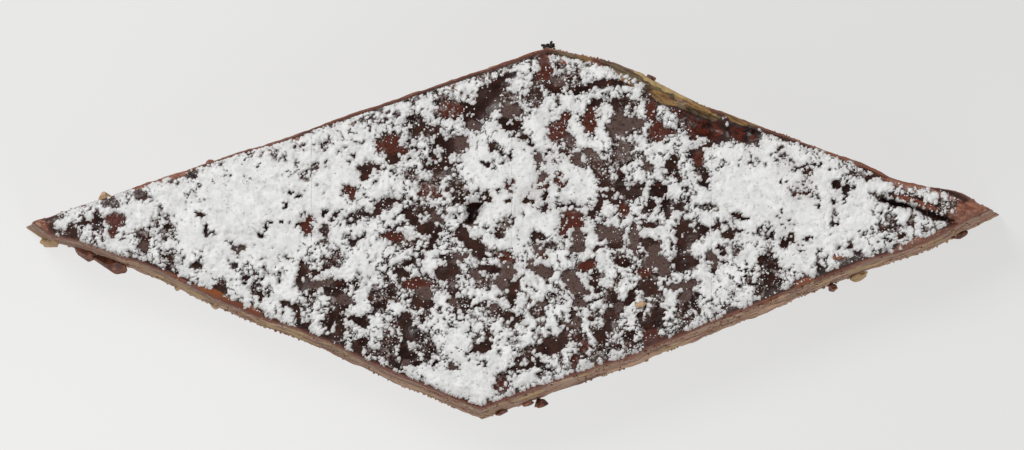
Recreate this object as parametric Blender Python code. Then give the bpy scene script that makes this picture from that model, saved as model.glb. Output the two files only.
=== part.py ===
# A lozenge-shaped bar cookie: one sticky dark slab, cut by hand with a knife and dusted on top.
# Units are metres, +Z is up and +X runs along the long diagonal.
# The origin is on the flat base, under the middle of the cookie's box.

import math
import random

import bmesh
import bpy
from mathutils import Matrix, Vector, noise

MM = 0.001

# Driving sizes
HALF_LENGTH = 48.65 * MM        # from the middle to each sharp tip
HALF_WIDTH = 18.45 * MM         # from the middle to each blunt corner
THICKNESS = 9.0 * MM            # from the base to the bare top

# The four corners of the cut outline at the base. The knife cuts aren't quite parallel.
LEFT_TIP = Vector((-HALF_LENGTH, 0.3 * MM))
BACK_CORNER = Vector((3.3 * MM, HALF_WIDTH - 0.35 * MM))
RIGHT_TIP = Vector((HALF_LENGTH, 1.6 * MM))
FRONT_CORNER = Vector((-3.4 * MM, -HALF_WIDTH - 0.35 * MM))

# How far each corner of the top lies inside the base, because the walls lean in.
LEFT_LEAN = Vector((2.1 * MM, 0.0))
BACK_LEAN = Vector((-0.1 * MM, -1.6 * MM))
RIGHT_LEAN = Vector((-2.4 * MM, 0.0))
FRONT_LEAN = Vector((-0.2 * MM, 1.3 * MM))

# Swells (+) and dents (-) along each cut, as place from 0 to 1, amount and half width from 0 to 1.
BACK_LEFT_SWELLS = ((0.48, -0.20 * MM, 0.05),)
BACK_RIGHT_SWELLS = (
    (0.15, 1.08 * MM, 0.13),
    (0.79, -0.50 * MM, 0.05),
    (0.93, 0.45 * MM, 0.04),
)
FRONT_RIGHT_SWELLS = (
    (0.27, 0.65 * MM, 0.24),
    (0.30, 0.25 * MM, 0.03),
    (0.62, 0.45 * MM, 0.22),
    (0.86, 0.60 * MM, 0.02),
    (0.95, 0.45 * MM, 0.02),
)
FRONT_LEFT_SWELLS = (
    (0.05, 0.45 * MM, 0.04),
    (0.27, -0.32 * MM, 0.10),
    (0.63, -0.32 * MM, 0.09),
)
SIDE_WAVE = 0.07 * MM           # fine unevenness of the knife cuts
SIDE_WAVE_LENGTH = 1.9 * MM
SIDE_WAVE_FADE = 0.08           # share of a side over which the wave fades at each corner

# The mesh: cells along each side of the top, and the wall's rows from the rim down.
# A row is its share of the lean and its share of the height.
CELLS = 50
WALL_ROWS = (
    (0.26, 0.972),
    (0.42, 0.900),
    (0.50, 0.700),
    (0.62, 0.440),
    (0.80, 0.200),
    (1.00, 0.055),
    (0.93, 0.000),
)
RIM_DROP = 0.25 * MM            # the top falls by this much over its last cell
WALL_GRAIN = 0.10 * MM          # long smears that the knife left on the walls
WALL_GRAIN_LENGTH = 5.0 * MM
WALL_GRAIN_HEIGHT = 1.3 * MM

# Relief of the top
SWELL_HEIGHT = 0.22 * MM
SWELL_LENGTH = 13.0 * MM
DRIFTS = (                      # broad heaps of sugar: middle, half sizes and height
    (-25.0 * MM, 0.9 * MM, 8.0 * MM, 4.5 * MM, 0.30 * MM),
    (26.5 * MM, 2.4 * MM, 8.5 * MM, 5.0 * MM, 0.32 * MM),
    (-2.5 * MM, -14.6 * MM, 4.0 * MM, 3.0 * MM, 0.30 * MM),
    (2.0 * MM, 3.9 * MM, 5.0 * MM, 6.0 * MM, 0.15 * MM),
)
LUMP_COUNT = 110                # sugar clumps, drawn at random over the top
LUMP_RADIUS = (1.1 * MM, 2.6 * MM)
LUMP_HEIGHT = (0.25 * MM, 0.62 * MM)
LUMP_RIM_GAP = 0.045            # share of the top that stays clear of lumps along its rim

# Broken edge at the back right: two spoon-shaped hollows behind a ridge.
# Each is its middle, half sizes, turn in degrees and depth.
HOLLOWS = (
    (19.2 * MM, 9.8 * MM, 2.6 * MM, 1.15 * MM, -24.0, 1.7 * MM),
    (23.0 * MM, 9.1 * MM, 1.7 * MM, 1.0 * MM, -20.0, 1.1 * MM),
    (15.6 * MM, 12.4 * MM, 2.6 * MM, 0.9 * MM, -27.0, 0.6 * MM),
)
# A fold near the right tip: a groove from start to end, with a lip on its far side.
FOLD_START = Vector((36.9 * MM, 2.45 * MM))
FOLD_END = Vector((43.9 * MM, 0.36 * MM))
FOLD_DEPTH = 0.85 * MM
FOLD_HALF_WIDTH = 0.55 * MM
FOLD_LIP_HEIGHT = 0.45 * MM
FOLD_LIP_OFFSET = 1.05 * MM
FOLD_LIP_HALF_WIDTH = 0.75 * MM

# Crumbs and flakes stuck to the cut edges, in millimetres:
# middle (x, y, z), half sizes (x, y, z) and turn in degrees
EDGE_CRUMBS = (
    (-46.2, -1.25, 1.0, 1.15, 0.85, 0.8, -20.0),
    (-42.8, -2.35, 0.9, 1.4, 0.75, 0.8, -24.0),
    (-40.3, -3.45, 1.0, 1.6, 0.75, 0.9, -22.0),
    (-40.8, 3.30, 1.6, 0.8, 0.6, 0.6, 20.0),
    (-30.2, 6.65, 1.2, 0.6, 0.5, 0.6, 20.0),
    (-33.4, -5.75, 0.8, 0.6, 0.5, 0.5, -25.0),
    (-29.7, -7.50, 0.8, 0.7, 0.5, 0.6, -25.0),
    (7.1, 17.35, 2.0, 0.7, 0.5, 0.7, -20.0),
    (10.7, 16.55, 1.4, 0.7, 0.5, 0.6, -20.0),
    (13.8, 15.15, 1.5, 0.6, 0.5, 0.6, -20.0),
    (24.3, 9.90, 7.4, 0.8, 0.6, 0.7, -25.0),
    (-1.2, -18.25, 1.1, 0.7, 0.5, 0.6, 20.0),
    (1.5, -17.30, 0.9, 0.7, 0.6, 0.7, 10.0),
    (2.8, -17.35, 0.9, 0.7, 0.6, 0.7, 35.0),
    (32.0, -5.80, 0.9, 0.6, 0.5, 0.6, 20.0),
    (34.7, -4.60, 0.8, 1.1, 0.5, 0.6, 22.0),
    (44.6, -0.55, 0.7, 1.1, 0.5, 0.5, 22.0),
)
CRUMB_ROUGHNESS = 0.28          # share of its size by which a crumb's points move
SCRAP_PLACE = Vector((3.7 * MM, 18.40 * MM, 1.1 * MM))  # the burnt scrap at the back corner
SCRAP_SIZE = Vector((0.85 * MM, 0.62 * MM, 0.8 * MM))
SCRAP_SPIKE = 0.40              # share of its size by which its points stand out

SEED = 41


def bell(distance):
    return math.exp(-distance * distance)


def side_point(start, end, place, swells, wave_seed):
    """A point of one cut, moved outwards by its swells and its fine wave."""
    along = end - start
    outward = Vector((along.y, -along.x)).normalized()
    point = start.lerp(end, place)
    amount = sum(size * bell((place - at) / width) for at, size, width in swells)
    spot = Vector((point.x / SIDE_WAVE_LENGTH, point.y / SIDE_WAVE_LENGTH, wave_seed))
    fade = min(1.0, min(place, 1.0 - place) / SIDE_WAVE_FADE)
    return point + outward * (amount + SIDE_WAVE * noise.noise(spot) * fade)


def outline(leans):
    """The four sides of the base (leans 0) or of the top (leans 1), each as a function of place."""
    left = LEFT_TIP + LEFT_LEAN * leans
    back = BACK_CORNER + BACK_LEAN * leans
    right = RIGHT_TIP + RIGHT_LEAN * leans
    front = FRONT_CORNER + FRONT_LEAN * leans
    return {
        "back_left": lambda t: side_point(back, left, 1.0 - t, flipped(BACK_LEFT_SWELLS), 1.0),
        "back_right": lambda t: side_point(right, back, 1.0 - t, flipped(BACK_RIGHT_SWELLS), 2.0),
        "front_left": lambda t: side_point(left, front, t, flipped(FRONT_LEFT_SWELLS), 3.0),
        "front_right": lambda t: side_point(front, right, t, flipped(FRONT_RIGHT_SWELLS), 4.0),
    }


def flipped(swells):
    return tuple((1.0 - at, size, width) for at, size, width in swells)


def patch_point(sides, u, v):
    """A point of the patch between the four sides. u runs to the back corner, v to the front corner."""
    left, back = sides["back_left"](0.0), sides["back_left"](1.0)
    front, right = sides["front_left"](1.0), sides["back_right"](1.0)
    across = sides["back_left"](u).lerp(sides["front_right"](u), v)
    down = sides["front_left"](v).lerp(sides["back_right"](v), u)
    corners = left.lerp(back, u).lerp(front.lerp(right, u), v)
    return across + down - corners


def turned(x, y, degrees):
    angle = math.radians(degrees)
    return (
        x * math.cos(angle) + y * math.sin(angle),
        y * math.cos(angle) - x * math.sin(angle),
    )


def draw_lumps():
    """Middles, radii and heights of the sugar clumps, as shares of the top and in metres."""
    draw = random.Random(SEED)
    lumps = []
    for _ in range(LUMP_COUNT):
        u = draw.uniform(LUMP_RIM_GAP, 1.0 - LUMP_RIM_GAP)
        v = draw.uniform(LUMP_RIM_GAP, 1.0 - LUMP_RIM_GAP)
        lumps.append((u, v, draw.uniform(*LUMP_RADIUS), draw.uniform(*LUMP_HEIGHT)))
    return lumps


def hollow_depth(point):
    deepest = 0.0
    for x, y, half_x, half_y, degrees, depth in HOLLOWS:
        along, across = turned(point.x - x, point.y - y, degrees)
        deepest = max(deepest, depth * bell(math.hypot(along / half_x, across / half_y)))
    return deepest


def fold_relief(point):
    """The groove near the right tip, and the lip that stands on its far side."""
    along = FOLD_END - FOLD_START
    place = (point - FOLD_START).dot(along) / along.length_squared
    nearest = FOLD_START + along * min(max(place, 0.0), 1.0)
    sideways = Vector((-along.y, along.x)).normalized()
    offset = (point - nearest).dot(sideways)
    beyond = (point - nearest - sideways * offset).length
    groove = FOLD_DEPTH * bell(math.hypot(offset, beyond) / FOLD_HALF_WIDTH)
    lip = math.hypot(offset - FOLD_LIP_OFFSET, beyond) / FOLD_LIP_HALF_WIDTH
    return FOLD_LIP_HEIGHT * bell(lip) - groove


def top_height(point, rim, lumps):
    """Height of the top at a point. rim is 0 on the rim and 1 from the second cell inwards."""
    height = THICKNESS - RIM_DROP * (1.0 - rim)
    height += SWELL_HEIGHT * noise.noise(Vector((point.x, point.y, 0.0)) / SWELL_LENGTH)
    for x, y, half_x, half_y, drift in DRIFTS:
        height += drift * bell(math.hypot((point.x - x) / half_x, (point.y - y) / half_y))
    lump = max(size * bell((point - middle).length / radius) for middle, radius, size in lumps)
    return height + lump * rim + fold_relief(point) - hollow_depth(point)


def ring_places():
    """The grid's rim as (side, place) all the way round, one entry for each rim cell."""
    steps = [i / CELLS for i in range(CELLS)]
    return (
        [("back_left", t) for t in steps]
        + [("back_right", t) for t in steps]
        + [("front_right", 1.0 - t) for t in steps]
        + [("front_left", 1.0 - t) for t in steps]
    )


def rim_indices():
    """The same walk round the rim, as (row, column) of the grid."""
    steps = range(CELLS)
    return (
        [(i, 0) for i in steps]
        + [(CELLS, i) for i in steps]
        + [(CELLS - i, CELLS) for i in steps]
        + [(0, CELLS - i) for i in steps]
    )


def wall_point(top, base, lean, share, height):
    """A point on the wall: part way out along the lean, with the knife's smears."""
    flat = top.lerp(base, lean)
    spot = Vector((
        flat.x / WALL_GRAIN_LENGTH,
        flat.y / WALL_GRAIN_LENGTH,
        height * share / WALL_GRAIN_HEIGHT,
    ))
    grain = WALL_GRAIN * noise.noise(spot) if share > 0.0 else 0.0
    outward = flat.normalized()
    return Vector((flat.x + outward.x * grain, flat.y + outward.y * grain, height * share))


def make_slab():
    """The cookie without its crumbs: a relief on top, leaning walls and a flat base."""
    top_sides, base_sides = outline(1.0), outline(0.0)
    lumps = [(patch_point(top_sides, u, v), radius, size) for u, v, radius, size in draw_lumps()]
    shape = bmesh.new()
    grid = []
    for i in range(CELLS + 1):
        row = []
        for j in range(CELLS + 1):
            point = patch_point(top_sides, i / CELLS, j / CELLS)
            rim = 0.0 if min(i, j, CELLS - i, CELLS - j) == 0 else 1.0
            row.append(shape.verts.new((point.x, point.y, top_height(point, rim, lumps))))
        grid.append(row)
    for i in range(CELLS):
        for j in range(CELLS):
            shape.faces.new((grid[i][j], grid[i][j + 1], grid[i + 1][j + 1], grid[i + 1][j]))

    above = [grid[i][j] for i, j in rim_indices()]
    heights = [vert.co.z for vert in above]
    for lean, share in WALL_ROWS:
        ring = []
        for (side, place), height in zip(ring_places(), heights):
            top, base = top_sides[side](place), base_sides[side](place)
            ring.append(shape.verts.new(wall_point(top, base, lean, share, height)))
        for k in range(len(ring)):
            after = (k + 1) % len(ring)
            shape.faces.new((above[k], above[after], ring[after], ring[k]))
        above = ring
    shape.faces.new(above)

    bmesh.ops.triangulate(shape, faces=shape.faces[:])
    bmesh.ops.recalc_face_normals(shape, faces=shape.faces[:])
    return finished("cookie", shape)


def make_crumb(name, place, half_size, degrees, roughness, seed):
    """A small rough lump, for a crumb or a scrap."""
    draw = random.Random(seed)
    shape = bmesh.new()
    bmesh.ops.create_icosphere(shape, subdivisions=2, radius=1.0)
    for vert in shape.verts:
        vert.co *= 1.0 + draw.uniform(-roughness, roughness)
    bmesh.ops.scale(shape, vec=half_size, verts=shape.verts)
    turn = Matrix.Rotation(math.radians(degrees), 3, "Z")
    bmesh.ops.rotate(shape, cent=(0, 0, 0), matrix=turn, verts=shape.verts)
    bmesh.ops.translate(shape, vec=place, verts=shape.verts)
    return finished(name, shape)


def finished(name, shape):
    mesh = bpy.data.meshes.new(name)
    shape.to_mesh(mesh)
    shape.free()
    piece = bpy.data.objects.new(name, mesh)
    bpy.context.scene.collection.objects.link(piece)
    return piece


def fuse(slab, crumbs):
    """Joins the crumbs to the slab in one union and removes them."""
    group = bpy.data.collections.new("crumbs")
    bpy.context.scene.collection.children.link(group)
    for crumb in crumbs:
        bpy.context.scene.collection.objects.unlink(crumb)
        group.objects.link(crumb)
    union = slab.modifiers.new("crumbs", "BOOLEAN")
    union.operation = "UNION"
    union.operand_type = "COLLECTION"
    union.collection = group
    union.solver = "EXACT"
    bpy.context.view_layer.objects.active = slab
    bpy.ops.object.modifier_apply(modifier=union.name)
    for crumb in crumbs:
        bpy.data.objects.remove(crumb)
    bpy.data.collections.remove(group)


def centre_on_origin(mesh):
    """Puts the middle of the box's underside at the origin."""
    xs = [vert.co.x for vert in mesh.vertices]
    ys = [vert.co.y for vert in mesh.vertices]
    zs = [vert.co.z for vert in mesh.vertices]
    middle = Vector(((min(xs) + max(xs)) / 2, (min(ys) + max(ys)) / 2, min(zs)))
    mesh.transform(Matrix.Translation(-middle))


def dark_slab_material():
    material = bpy.data.materials.new("dark_slab")
    material.use_nodes = True
    shader = material.node_tree.nodes["Principled BSDF"]
    shader.inputs["Base Color"].default_value = (0.060, 0.022, 0.014, 1.0)
    shader.inputs["Roughness"].default_value = 0.45
    shader.inputs["Metallic"].default_value = 0.0
    return material


def build():
    for thing in list(bpy.data.objects):
        bpy.data.objects.remove(thing)
    cookie = make_slab()
    crumbs = []
    for number, (x, y, z, half_x, half_y, half_z, degrees) in enumerate(EDGE_CRUMBS):
        place = Vector((x, y, z)) * MM
        half_size = Vector((half_x, half_y, half_z)) * MM
        name = f"crumb_{number:02d}"
        crumbs.append(make_crumb(name, place, half_size, degrees, CRUMB_ROUGHNESS, SEED + number))
    crumbs.append(make_crumb("burnt_scrap", SCRAP_PLACE, SCRAP_SIZE, 0.0, SCRAP_SPIKE, SEED))
    fuse(cookie, crumbs)
    centre_on_origin(cookie.data)
    cookie.data.materials.clear()
    cookie.data.materials.append(dark_slab_material())
    cookie.data.shade_smooth()
    cookie.data.set_sharp_from_angle(angle=math.radians(40.0))


build()
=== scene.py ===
import math

import bmesh
import bpy
import numpy as np
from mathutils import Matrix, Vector


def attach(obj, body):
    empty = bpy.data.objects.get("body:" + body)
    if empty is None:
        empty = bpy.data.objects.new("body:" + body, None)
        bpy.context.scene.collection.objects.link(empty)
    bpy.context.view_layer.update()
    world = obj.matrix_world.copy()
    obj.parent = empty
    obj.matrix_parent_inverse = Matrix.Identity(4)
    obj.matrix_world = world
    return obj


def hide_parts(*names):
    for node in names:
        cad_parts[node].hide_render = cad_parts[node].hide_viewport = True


# A lozenge of sticky dark fruit slab with clumps of icing sugar on top.
# Lengths here are millimetres until a mesh is made; places read off the photo are its pixels.

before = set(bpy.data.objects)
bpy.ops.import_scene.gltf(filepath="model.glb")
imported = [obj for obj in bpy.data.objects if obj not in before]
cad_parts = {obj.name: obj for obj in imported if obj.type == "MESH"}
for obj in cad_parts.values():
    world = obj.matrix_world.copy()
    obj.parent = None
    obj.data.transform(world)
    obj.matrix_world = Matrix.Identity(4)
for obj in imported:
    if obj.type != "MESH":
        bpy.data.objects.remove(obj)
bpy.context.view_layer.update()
metresPerMm = 0.001

photo = {
    "middle": (512.5, 228.3),  # pixel over the origin
    "pixelsPerMm": 10.0,
    "size": (1024, 450),
    "elevation": 86.0,  # degrees above the floor
}


# Noise and small helpers


def smoothNoise(x, y, size, seed):
    # value noise from -1 to 1, with features of that size
    table = np.random.default_rng(seed).uniform(-1, 1, (256, 256))
    gx, gy = x / size, y / size
    ix, iy = np.floor(gx).astype(int), np.floor(gy).astype(int)
    fx, fy = gx - ix, gy - iy
    fx, fy = fx * fx * (3 - 2 * fx), fy * fy * (3 - 2 * fy)
    ix, iy, jx, jy = ix & 255, iy & 255, (ix + 1) & 255, (iy + 1) & 255
    low = table[ix, iy] * (1 - fx) + table[jx, iy] * fx
    high = table[ix, jy] * (1 - fx) + table[jx, jy] * fx
    return low * (1 - fy) + high * fy


def layeredNoise(x, y, size, seed, layers=3):
    total, weight, reach = 0.0, 1.0, 0.0
    for layer in range(layers):
        turn = 0.6 + 1.1 * layer
        tx = x * math.cos(turn) + y * math.sin(turn)
        ty = y * math.cos(turn) - x * math.sin(turn)
        total = total + weight * smoothNoise(tx, ty, size / 2 ** layer, seed + layer)
        reach += weight
        weight *= 0.55
    return total / reach


def rampUp(value, low, high):
    t = np.clip((value - low) / (high - low), 0, 1)
    return t * t * (3 - 2 * t)


def bell(distance):
    return np.exp(-distance * distance)


def blurred(field, reach):
    # three box blurs, each 2 * reach + 1 cells wide
    for _ in range(3):
        for axis in (0, 1):
            room = [(0, 0), (0, 0)]
            room[axis] = (reach + 1, reach)
            padded = np.pad(field, room, mode="edge")
            sums = np.cumsum(padded, axis=axis)
            wide = 2 * reach + 1
            if axis == 0:
                field = (sums[wide:] - sums[:-wide]) / wide
            else:
                field = (sums[:, wide:] - sums[:, :-wide]) / wide
    return field


def fromPhoto(px, py, height=9.0):
    # place in mm of what the photo shows at that pixel, if it lies at that height
    tilt = math.radians(photo["elevation"])
    x = (px - photo["middle"][0]) / photo["pixelsPerMm"]
    y = ((photo["middle"][1] - py) / photo["pixelsPerMm"] - height * math.cos(tilt)) / math.sin(tilt)
    return x, y


def acrossAndAlong(x, y, middle, degrees):
    turn = math.radians(degrees)
    dx, dy = x - middle[0], y - middle[1]
    return dx * math.cos(turn) + dy * math.sin(turn), dy * math.cos(turn) - dx * math.sin(turn)


def makePiece(name, points, faces, material, fields=None, uv=None, smooth=True):
    mesh = bpy.data.meshes.new(name)
    mesh.from_pydata((np.asarray(points) * metresPerMm).tolist(), [], faces)
    for label, values in (fields or {}).items():
        spot = mesh.attributes.new(label, "FLOAT", "POINT")
        spot.data.foreach_set("value", np.asarray(values, dtype=np.float32))
    if uv is not None:
        layer = mesh.uv_layers.new(name="OFBake")
        corners = np.empty(len(mesh.loops), dtype=np.int32)
        mesh.loops.foreach_get("vertex_index", corners)
        layer.data.foreach_set("uv", np.asarray(uv, dtype=np.float32)[corners].ravel())
    mesh.materials.append(material)
    if smooth:
        mesh.shade_smooth()
    piece = bpy.data.objects.new(name, mesh)
    bpy.context.scene.collection.objects.link(piece)
    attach(piece, "root")
    print(name, len(mesh.vertices), "points,", len(mesh.loops) - 2 * len(mesh.polygons), "triangles")
    return piece


# Shader maths written as expressions


class Wire:
    # one socket, with the operators that are used
    def __init__(self, finish, socket):
        self.finish = finish
        self.socket = socket

    def __add__(self, other):
        return self.finish.maths("ADD", self, other)

    def __sub__(self, other):
        return self.finish.maths("SUBTRACT", self, other)

    def __rsub__(self, other):
        return self.finish.maths("SUBTRACT", other, self)

    def __mul__(self, other):
        return self.finish.maths("MULTIPLY", self, other)

    __radd__ = __add__
    __rmul__ = __mul__


class Finish:
    # a material and the nodes in it
    def __init__(self, name):
        self.material = bpy.data.materials.new(name)
        self.material.use_nodes = True
        self.tree = self.material.node_tree
        self.tree.nodes.clear()
        self.place = self.node("ShaderNodeTexCoord", out="Object")

    def node(self, kind, settings=None, sockets=None, out=0):
        made = self.tree.nodes.new(kind)
        for key, value in (settings or {}).items():
            setattr(made, key, value)
        for key, value in (sockets or {}).items():
            if isinstance(value, Wire):
                self.tree.links.new(value.socket, made.inputs[key])
            else:
                made.inputs[key].default_value = value
        return Wire(self, made.outputs[out])

    def maths(self, operation, *values):
        return self.node("ShaderNodeMath", {"operation": operation}, dict(enumerate(values)))

    def mask(self, value, low, high):
        sockets = {"Value": value, "From Min": low, "From Max": high}
        return self.node("ShaderNodeMapRange", {"interpolation_type": "SMOOTHSTEP"}, sockets)

    def attribute(self, name):
        return self.node("ShaderNodeAttribute", {"attribute_name": name}, out="Fac")

    def stretched(self, sizes, shift, turn):
        # Object coordinates counted in features of these sizes in mm, turned about the vertical
        sockets = {
            "Vector": self.place,
            "Location": (shift * metresPerMm,) * 3,
            "Rotation": (0.0, 0.0, math.radians(turn)),
            "Scale": tuple(size * metresPerMm for size in sizes),
        }
        return self.node("ShaderNodeMapping", {"vector_type": "TEXTURE"}, sockets)

    def noise(self, size, detail=3.0, roughness=0.55, sizes=None, shift=0.0, turn=0.0):
        where = self.stretched(sizes or (size, size, size), shift, turn)
        sockets = {"Vector": where, "Scale": 1.0, "Detail": detail, "Roughness": roughness}
        return self.node("ShaderNodeTexNoise", {}, sockets, out="Fac")

    def mix(self, share, first, second):
        def colour(value):
            return value if isinstance(value, Wire) else (*value, 1.0)
        sockets = {0: share, 6: colour(first), 7: colour(second)}
        return self.node("ShaderNodeMix", {"data_type": "RGBA"}, sockets, out=2)

    def bump(self, height, distance, strength):
        sockets = {"Height": height, "Distance": distance * metresPerMm, "Strength": strength}
        return self.node("ShaderNodeBump", {}, sockets)

    def finished(self, sockets):
        shader = self.node("ShaderNodeBsdfPrincipled", {}, sockets, out="BSDF")
        output = self.tree.nodes.new("ShaderNodeOutputMaterial")
        self.tree.links.new(shader.socket, output.inputs["Surface"])
        return self.material


# The slab: outline, relief and knife-cut walls

slab = {
    "leftTip": (-48.65, 0.11),
    "backCorner": (3.3, 17.91),
    "rightTip": (48.65, 1.41),
    "frontCorner": (-3.4, -18.99),
    "leans": {  # how far each corner of the top lies in from the foot
        "leftTip": (1.6, 0.0),
        "backCorner": (-0.1, -1.25),
        "rightTip": (-1.9, 0.0),
        "frontCorner": (-0.2, 0.95),
    },
    "thickness": 9.0,
    "cells": 220,  # along each side of the top
    "swell": 0.22,
    "swellLength": 13.0,
    "rimDrop": 0.30,
    "rimDropReach": 0.55,
    # the wall: share of the height, and share of the lean there
    "wallHeights": (0.0, 0.03, 0.055, 0.2, 0.44, 0.7, 0.9, 0.972, 1.0),
    "wallLeans": (0.93, 0.98, 1.0, 0.80, 0.62, 0.50, 0.42, 0.26, 0.0),
    "wallRows": 40,
    "shoulderRows": (0.992, 0.98, 0.965, 0.945, 0.92, 0.89),
    "smearDepth": 0.14,
    "sideWave": 0.13,
    "wallBulge": 0.12,
    "wallRough": 0.07,
    "nutsProud": 0.10,  # how far nuts stand out of the wall, and fruit lies back
    "fruitBack": 0.05,
}

# each side: its two corners, which way is out, and its swells as (place, amount, half width)
sides = {
    "backLeft": ("leftTip", "backCorner", 1, ((0.48, -0.20, 0.05),)),
    "backRight": ("backCorner", "rightTip", 1, ((0.15, 1.08, 0.13), (0.79, -0.50, 0.05), (0.93, 0.45, 0.04))),
    "frontLeft": ("leftTip", "frontCorner", -1, (
        (0.05, 0.45, 0.04), (0.27, -0.32, 0.10), (0.63, -0.32, 0.09))),
    "frontRight": ("frontCorner", "rightTip", -1, (
        (0.27, 0.65, 0.24), (0.30, 0.25, 0.03), (0.62, 0.45, 0.22), (0.86, 0.62, 0.09))),
}

# broken edge at the back right: spoon-shaped hollows as middle, half sizes, turn and depth
hollows = (
    ((19.3, 9.75), (2.3, 1.05), -25.0, 1.25),
    ((18.9, 10.65), (2.3, 0.33), -26.0, 1.1),
    ((23.0, 9.0), (1.6, 0.85), -22.0, 1.0),
    ((15.6, 12.3), (2.6, 0.7), -27.0, 0.55),
)
# small dips in the bare top, in photo pixels: middle, half sizes, turn and depth
dips = (
    ((475, 209), (9, 8), 20, 1.5), ((471, 219), (6, 4), 20, 0.9),
    ((489, 101), (15, 9), 48, 0.30), ((507, 78), (10, 5), 25, 0.15), ((512, 128), (12, 9), -5, 0.25),
    ((448, 276), (9, 12), 10, 0.35), ((440, 168), (14, 8), 5, 0.25), ((450, 148), (13, 8), -45, 0.25),
    ((684, 240), (9, 17), 0, 0.25), ((688, 265), (9, 6), 0, 0.3), ((610, 319), (6, 9), -15, 0.3),
    ((634, 188), (15, 5), -5, 0.3), ((700, 158), (7, 8), 20, 0.3), ((505, 258), (8, 6), 0, 0.15),
    ((562, 206), (24, 5), 0, 0.25), ((406, 325), (8, 11), 10, 0.25), ((303, 279), (7, 12), 0, 0.25),
    ((310, 228), (9, 11), 0, 0.12), ((656, 130), (9, 11), 0, 0.12), ((653, 338), (9, 10), 10, 0.2),
)
# the fold near the right tip: a sharp groove, and a lip that stands behind it
fold = {
    "start": (36.9, 2.35),
    "end": (43.8, 0.15),
    "depth": 1.15,
    "halfWidth": 0.26,
    "lipHeight": 0.50,
    "lipOffset": 0.95,
    "lipHalfWidth": 0.62,
}
drifts = (  # broad smooth heaps of sugar: middle, half sizes and height
    ((-25.0, 0.7), (8.0, 4.5), 0.30),
    ((26.5, 2.2), (8.5, 5.0), 0.32),
    ((-4.2, -15.4), (3.4, 2.2), 0.30),
    ((2.0, 3.7), (5.0, 6.0), 0.12),
)


def corner(name, lean):
    start, shift = slab[name], slab["leans"][name]
    return np.array([start[0] + shift[0] * lean, start[1] + shift[1] * lean])


def sideFrame(name, lean):
    first, last, outwards, swells = sides[name]
    start, end = corner(first, lean), corner(last, lean)
    along = end - start
    normal = outwards * np.array([-along[1], along[0]]) / np.hypot(*along)
    return start, along, normal, swells


def sideSwell(swells, t):
    return sum(amount * bell((t - at) / width) for at, amount, width in swells)


def sidePoints(name, lean, t):
    start, along, normal, swells = sideFrame(name, lean)
    fade = np.clip(np.minimum(t, 1 - t) / 0.06, 0, 1)
    seed = 11 + list(sides).index(name)
    wave = slab["sideWave"] * layeredNoise(t * np.hypot(*along), 0 * t, 1.9, seed, 4) * fade
    return start + t[:, None] * along + (sideSwell(swells, t) + wave)[:, None] * normal


def rimGap(x, y):
    # distance in from the nearest side of the top, in mm
    gaps = []
    for name in sides:
        start, along, normal, swells = sideFrame(name, 1.0)
        dx, dy = x - start[0], y - start[1]
        t = (dx * along[0] + dy * along[1]) / (along @ along)
        gaps.append(sideSwell(swells, t) - dx * normal[0] - dy * normal[1])
    return np.minimum.reduce(gaps)


def hollowDepth(x, y):
    deepest = 0.0 * x
    for middle, half, turn, depth in hollows:
        a, b = acrossAndAlong(x, y, middle, turn)
        q = np.hypot(a / half[0], b / half[1])
        deepest = np.maximum(deepest, depth * np.exp(-q ** 3))
    return deepest


def foldOffsets(x, y):
    # distance across the fold (+ behind it) and beyond its ends
    start, end = np.array(fold["start"]), np.array(fold["end"])
    along = end - start
    length = np.hypot(*along)
    s = ((x - start[0]) * along[0] + (y - start[1]) * along[1]) / length
    across = ((y - start[1]) * along[0] - (x - start[0]) * along[1]) / length
    return across + 0.12 * np.sin(s * 1.3 + 0.6), np.maximum(np.maximum(-s, s - length), 0)


def foldRelief(x, y):
    across, beyond = foldOffsets(x, y)
    groove = fold["depth"] * bell(np.hypot(across, beyond) / fold["halfWidth"])
    lip = np.hypot(across - fold["lipOffset"], beyond) / fold["lipHalfWidth"]
    return fold["lipHeight"] * bell(lip) - groove


def slabTop(x, y):
    # height of the bare slab
    height = slab["thickness"] - slab["rimDrop"] * bell(np.maximum(rimGap(x, y), 0) / slab["rimDropReach"])
    height = height + slab["swell"] * layeredNoise(x, y, slab["swellLength"] / 2, 5, 2)
    height = height + 0.09 * layeredNoise(x, y, 2.6, 21, 2) + 0.035 * layeredNoise(x, y, 0.8, 25, 2)
    for middle, half, turn, depth in dips:
        a, b = acrossAndAlong(x, y, fromPhoto(*middle), turn)
        q = np.hypot(a / half[0], b / half[1]) * photo["pixelsPerMm"]
        height = height - depth * np.exp(-q ** 3)
    return height + foldRelief(x, y) - hollowDepth(x, y)


def coons(u, v):
    # a point of the top for u (left to back) and v (left to front), both flat arrays
    grid = {name: sidePoints(name, 1.0, u if name in ("backLeft", "frontRight") else v) for name in sides}
    ends = np.array([0.0, 1.0])
    left, back = sidePoints("backLeft", 1.0, ends)
    front, right = sidePoints("frontRight", 1.0, ends)
    cu, cv = u[:, None], v[:, None]
    across = grid["backLeft"] * (1 - cv) + grid["frontRight"] * cv
    down = grid["frontLeft"] * (1 - cu) + grid["backRight"] * cu
    corners = (left * (1 - cu) + back * cu) * (1 - cv) + (front * (1 - cu) + right * cu) * cv
    return across + down - corners


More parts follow.
